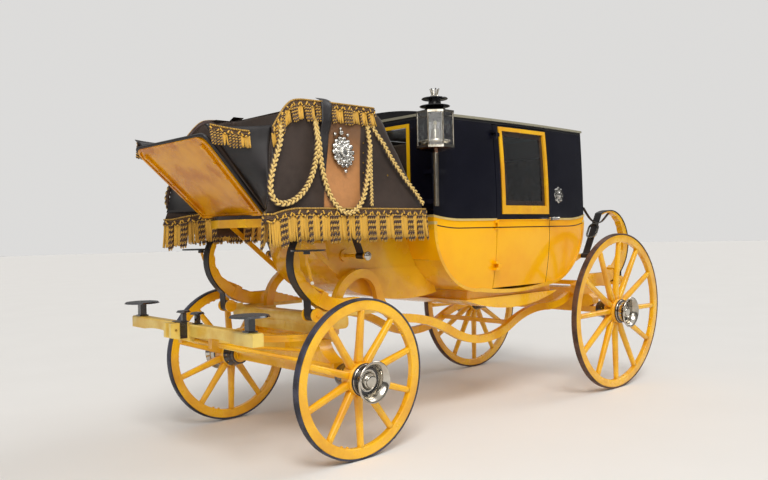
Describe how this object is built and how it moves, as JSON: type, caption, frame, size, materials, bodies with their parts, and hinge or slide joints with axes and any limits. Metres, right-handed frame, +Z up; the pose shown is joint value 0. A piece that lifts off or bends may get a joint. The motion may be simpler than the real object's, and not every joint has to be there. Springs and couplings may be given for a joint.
{
  "type": "berline carriage",
  "caption": "Horse-drawn berline with a closed cabin on C-springs and braces, crane-neck perches, turning fore-carriage, draped driver's seat and spoked wheels",
  "frame": {"origin": "middle of the carriage's length and width, on the ground", "axes": "+X forward to the splinter bar, +Y to the carriage's left side, +Z up"},
  "size_m": [4.3604, 1.8772, 2.301],
  "materials": {
    "yellow_paint": "gloss coach paint",
    "navy_paint": "gloss coach paint",
    "tyre_iron": "worn iron",
    "nickel": "polished plate",
    "glass": "clear",
    "black_iron": "black enamel",
    "black_leather": "satin",
    "brown_cloth": "wool cloth",
    "dark_wood": "varnished"
  },
  "bodies": {
    "carriage": {"body_loops": "yellow_paint", "box_steps": "black_iron", "brace_buckles": "nickel", "brace_drums": "yellow_paint", "cabin_back_wall": "navy_paint", "cabin_benches": "dark_wood", "cabin_bottom": "yellow_paint", "cabin_cushions": "brown_cloth", "cabin_front_quarters": "yellow_paint", "cabin_front_wall": "navy_paint", "cabin_lights": "glass", "cabin_mouldings": "yellow_paint", "cabin_rear_quarters": "yellow_paint", "cabin_roof": "navy_paint", "cabin_well": "yellow_paint", "foot_board": "yellow_paint", "front_boot": "yellow_paint", "front_springs": "yellow_paint", "hammercloth": "brown_cloth", "king_pin": "black_iron", "lamp_cases": "nickel", "lamp_glass": "glass", "lamp_posts": "nickel", "leather_braces": "black_leather", "perches": "yellow_paint", "rear_axle": "yellow_paint", "rear_bed": "yellow_paint", "rear_springs": "yellow_paint", "side_sheets": "black_leather", "toe_board": "yellow_paint", "transom": "yellow_paint", "upper_plate": "black_iron"},
    "wheel_front_left_body": {"wheel_front_left": "yellow_paint", "tyre_front_left": "tyre_iron", "nave_cap_front_left": "nickel"},
    "wheel_front_right_body": {"wheel_front_right": "yellow_paint", "tyre_front_right": "tyre_iron", "nave_cap_front_right": "nickel"},
    "wheel_rear_left_body": {"wheel_rear_left": "yellow_paint", "tyre_rear_left": "tyre_iron", "nave_cap_rear_left": "nickel"},
    "wheel_rear_right_body": {"wheel_rear_right": "yellow_paint", "tyre_rear_right": "tyre_iron", "nave_cap_rear_right": "nickel"},
    "door_left_body": {"door_frame_left": "yellow_paint", "door_glass_left": "glass", "door_handle_left": "nickel", "door_left": "yellow_paint"},
    "door_right_body": {"door_frame_right": "yellow_paint", "door_glass_right": "glass", "door_handle_right": "nickel", "door_right": "yellow_paint"},
    "fore_carriage": {"front_axle": "yellow_paint", "lower_bed": "yellow_paint", "lower_plate": "black_iron", "futchells": "yellow_paint", "pole_hoop": "black_iron", "splinter_bar": "yellow_paint", "roller_bolts": "black_iron", "wheel_irons": "yellow_paint"}
  },
  "joints": [
    {"name": "fore_carriage_turn", "type": "hinge", "parent": "carriage", "child": "fore_carriage", "pos_m": [1.3232, 0, 0.69], "axis": [0, 0, 1], "range_deg": [-22, 22]},
    {"name": "wheel_front_left_spin", "type": "hinge", "parent": "fore_carriage", "child": "wheel_front_left_body", "pos_m": [1.3232, 0.748, 0.48351], "axis": [0, 0.9993, -0.0384], "continuous": true},
    {"name": "wheel_front_right_spin", "type": "hinge", "parent": "fore_carriage", "child": "wheel_front_right_body", "pos_m": [1.3232, -0.748, 0.48351], "axis": [0, 0.9993, 0.0384], "continuous": true},
    {"name": "wheel_rear_left_spin", "type": "hinge", "parent": "carriage", "child": "wheel_rear_left_body", "pos_m": [-1.4818, 0.806, 0.65038], "axis": [0, 0.9993, -0.0384], "continuous": true},
    {"name": "wheel_rear_right_spin", "type": "hinge", "parent": "carriage", "child": "wheel_rear_right_body", "pos_m": [-1.4818, -0.806, 0.65038], "axis": [0, 0.9993, 0.0384], "continuous": true},
    {"name": "door_left_hinge", "type": "hinge", "parent": "carriage", "child": "door_left_body", "pos_m": [-0.1208, 0.646, 1.4], "axis": [0, 0, 1], "range_deg": [-80, 0]},
    {"name": "door_right_hinge", "type": "hinge", "parent": "carriage", "child": "door_right_body", "pos_m": [-0.1208, -0.646, 1.4], "axis": [0, 0, 1], "range_deg": [0, 80]}
  ]
}
